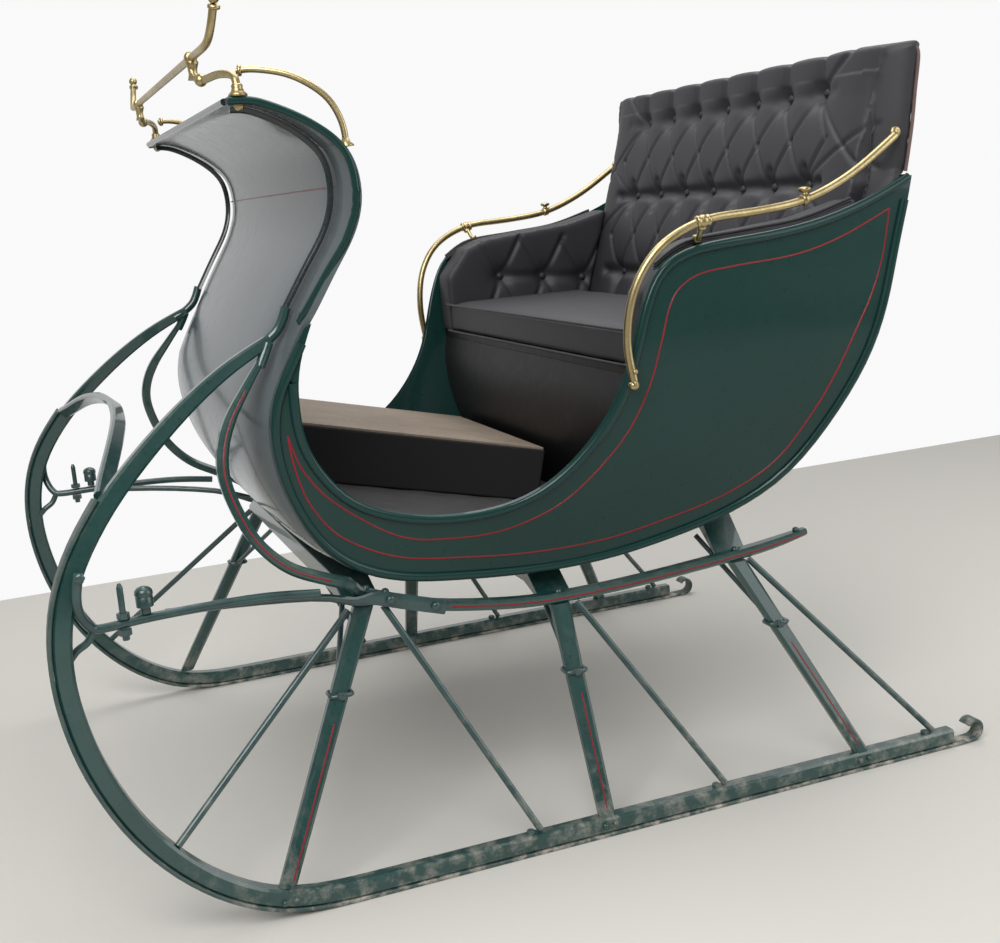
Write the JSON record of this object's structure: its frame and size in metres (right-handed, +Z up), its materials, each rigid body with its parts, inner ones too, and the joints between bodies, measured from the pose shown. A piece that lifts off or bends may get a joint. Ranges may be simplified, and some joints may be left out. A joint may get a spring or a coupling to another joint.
{
  "type": "horse-drawn cutter sleigh",
  "caption": "Horse-drawn cutter sleigh with swelled sides, curled dash, tufted leather seat, brass rails and two bent runners on legs.",
  "frame": {"origin": "on the ground, in the middle of the sleigh's box", "axes": "+X forward towards the dash, +Y the sleigh's left, +Z up"},
  "size_m": [1.5469, 1.1214, 1.3132],
  "materials": {
    "body_paint": "gloss coach paint on wood, dark green, red fine lines",
    "dash_paint": "polished coach paint, very dark green",
    "worn_shoe": "painted steel strip, worn and dusty",
    "painted_iron": "dark green paint on forged iron",
    "brass_tube": "old dull brass",
    "black_leather": "worn black leather",
    "seat_box_leather": "smooth black leather over board",
    "black_carpet": "short black pile",
    "carpeted_box": "black carpet sides, bare tan board top"
  },
  "bodies": {
    "root": {"runner_left": "body_paint", "runner_right": "body_paint", "shoe_left": "worn_shoe", "shoe_right": "worn_shoe", "front_bow": "body_paint", "leg_front_left": "body_paint", "leg_front_right": "body_paint", "leg_mid_left": "body_paint", "leg_mid_right": "body_paint", "leg_rear_left": "body_paint", "leg_rear_right": "body_paint", "bench_front": "body_paint", "bench_mid": "body_paint", "bench_rear": "body_paint", "rave_left": "body_paint", "rave_right": "body_paint", "scroll_left": "body_paint", "scroll_right": "body_paint", "draw_iron_left": "painted_iron", "draw_iron_right": "painted_iron", "shaft_pins": "painted_iron", "shaft_sockets": "painted_iron", "stay_rods_left": "painted_iron", "stay_rods_right": "painted_iron", "leg_braces": "painted_iron", "side_panel_left": "body_paint", "side_panel_right": "body_paint", "panel_bead_left": "body_paint", "panel_bead_right": "body_paint", "dash": "dash_paint", "dash_ribs": "dash_paint", "bottom_boards": "body_paint", "back_panel": "body_paint", "seat_box": "seat_box_leather", "seat_cushion": "black_leather", "seat_back": "black_leather", "arm_pad_left": "black_leather", "arm_pad_right": "black_leather", "arm_rail_left": "brass_tube", "arm_rail_right": "brass_tube", "rein_rail": "brass_tube", "dash_rails": "brass_tube", "floor_carpet": "black_carpet", "foot_box": "carpeted_box"}
  },
  "joints": []
}
